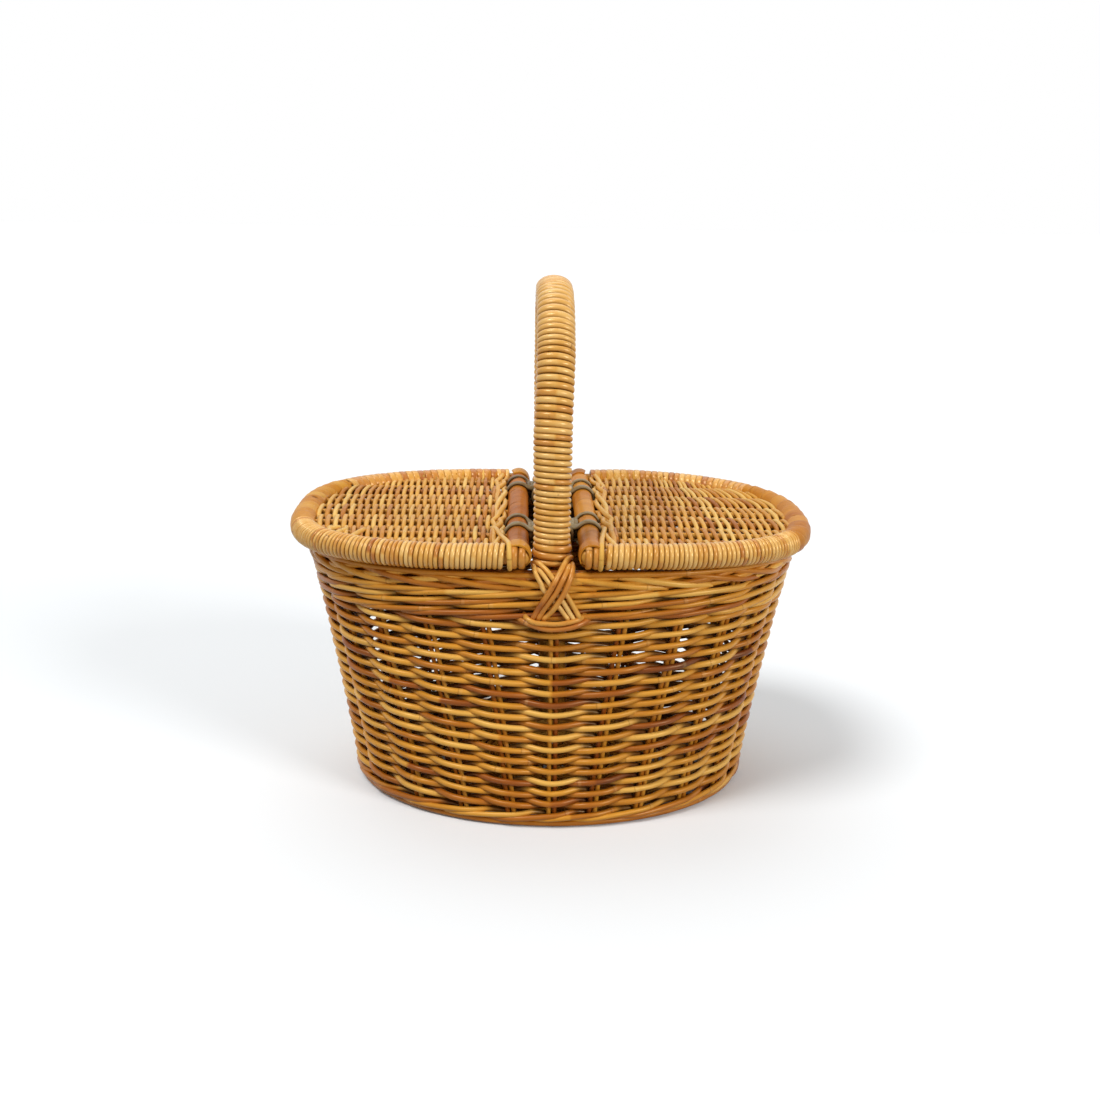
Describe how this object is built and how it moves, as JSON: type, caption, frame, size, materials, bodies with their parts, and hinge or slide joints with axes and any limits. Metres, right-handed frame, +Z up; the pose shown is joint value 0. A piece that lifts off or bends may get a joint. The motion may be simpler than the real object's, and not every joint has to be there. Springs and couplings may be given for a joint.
{
  "type": "picnic basket",
  "caption": "Oval woven-cane picnic basket with a fixed hoop handle and two half lids hinged under it.",
  "frame": {"origin": "middle of the ring that the basket stands on, at floor level", "axes": "+X to the right along the long side of the oval, +Y from the front to the back under the handle's arch, +Z up"},
  "size_m": [0.42, 0.3102, 0.4169],
  "materials": {
    "weaver_cane": "lacquered round cane, honey with golden-brown strands",
    "stake_cane": "lacquered cane rods",
    "base_cane": "lacquered woven cane",
    "frame_cane": "bent cane rods",
    "winding_cane": "glossy pale cane strand",
    "binding_cane": "glossy cane strand",
    "peel_wrap": "smooth cane peel with streaks and frayed edges",
    "hinge_lash": "flat grey-brown fibre strap"
  },
  "bodies": {
    "basket": {"side_weave": "weaver_cane", "foot_border": "weaver_cane", "rim_border": "weaver_cane", "stake_pair_01": "stake_cane", "stake_pair_02": "stake_cane", "stake_pair_03": "stake_cane", "stake_pair_04": "stake_cane", "stake_pair_05": "stake_cane", "stake_pair_06": "stake_cane", "stake_pair_07": "stake_cane", "stake_pair_08": "stake_cane", "stake_pair_09": "stake_cane", "stake_pair_10": "stake_cane", "stake_pair_11": "stake_cane", "stake_pair_12": "stake_cane", "stake_pair_13": "stake_cane", "stake_pair_14": "stake_cane", "stake_pair_15": "stake_cane", "stake_pair_16": "stake_cane", "stake_pair_17": "stake_cane", "stake_pair_18": "stake_cane", "stake_pair_19": "stake_cane", "stake_pair_20": "stake_cane", "stake_pair_21": "stake_cane", "stake_pair_22": "stake_cane", "stake_pair_23": "stake_cane", "stake_pair_24": "stake_cane", "base_panel": "base_cane", "handle_cane": "frame_cane", "handle_winding_front": "winding_cane", "handle_winding_back": "winding_cane", "cross_binding_front_under": "binding_cane", "cross_binding_front_over": "binding_cane", "cross_binding_back_under": "binding_cane", "cross_binding_back_over": "binding_cane", "crossbar": "peel_wrap", "left_lashing_front": "hinge_lash", "left_lashing_back": "hinge_lash", "right_lashing_front": "hinge_lash", "right_lashing_back": "hinge_lash"},
    "left_lid": {"left_lid_hoop": "frame_cane", "left_lid_winding_front": "winding_cane", "left_lid_winding_back": "winding_cane", "left_lid_end_loops_front": "binding_cane", "left_lid_end_loops_back": "binding_cane", "left_lid_end_peel": "peel_wrap", "left_lid_spine": "frame_cane", "left_lid_spine_skin": "peel_wrap", "left_lid_panel": "weaver_cane"},
    "right_lid": {"right_lid_hoop": "frame_cane", "right_lid_winding_front": "winding_cane", "right_lid_winding_back": "winding_cane", "right_lid_end_loops_front": "binding_cane", "right_lid_end_loops_back": "binding_cane", "right_lid_end_peel": "peel_wrap", "right_lid_spine": "frame_cane", "right_lid_spine_skin": "peel_wrap", "right_lid_panel": "weaver_cane"}
  },
  "joints": [
    {"name": "left_lid_hinge", "type": "hinge", "parent": "basket", "child": "left_lid", "pos_m": [-0.028, 0, 0.22], "axis": [0, 1, 0], "range_deg": [0, 91]},
    {"name": "right_lid_hinge", "type": "hinge", "parent": "basket", "child": "right_lid", "pos_m": [0.028, 0, 0.22], "axis": [0, -1, 0], "range_deg": [0, 91]}
  ]
}
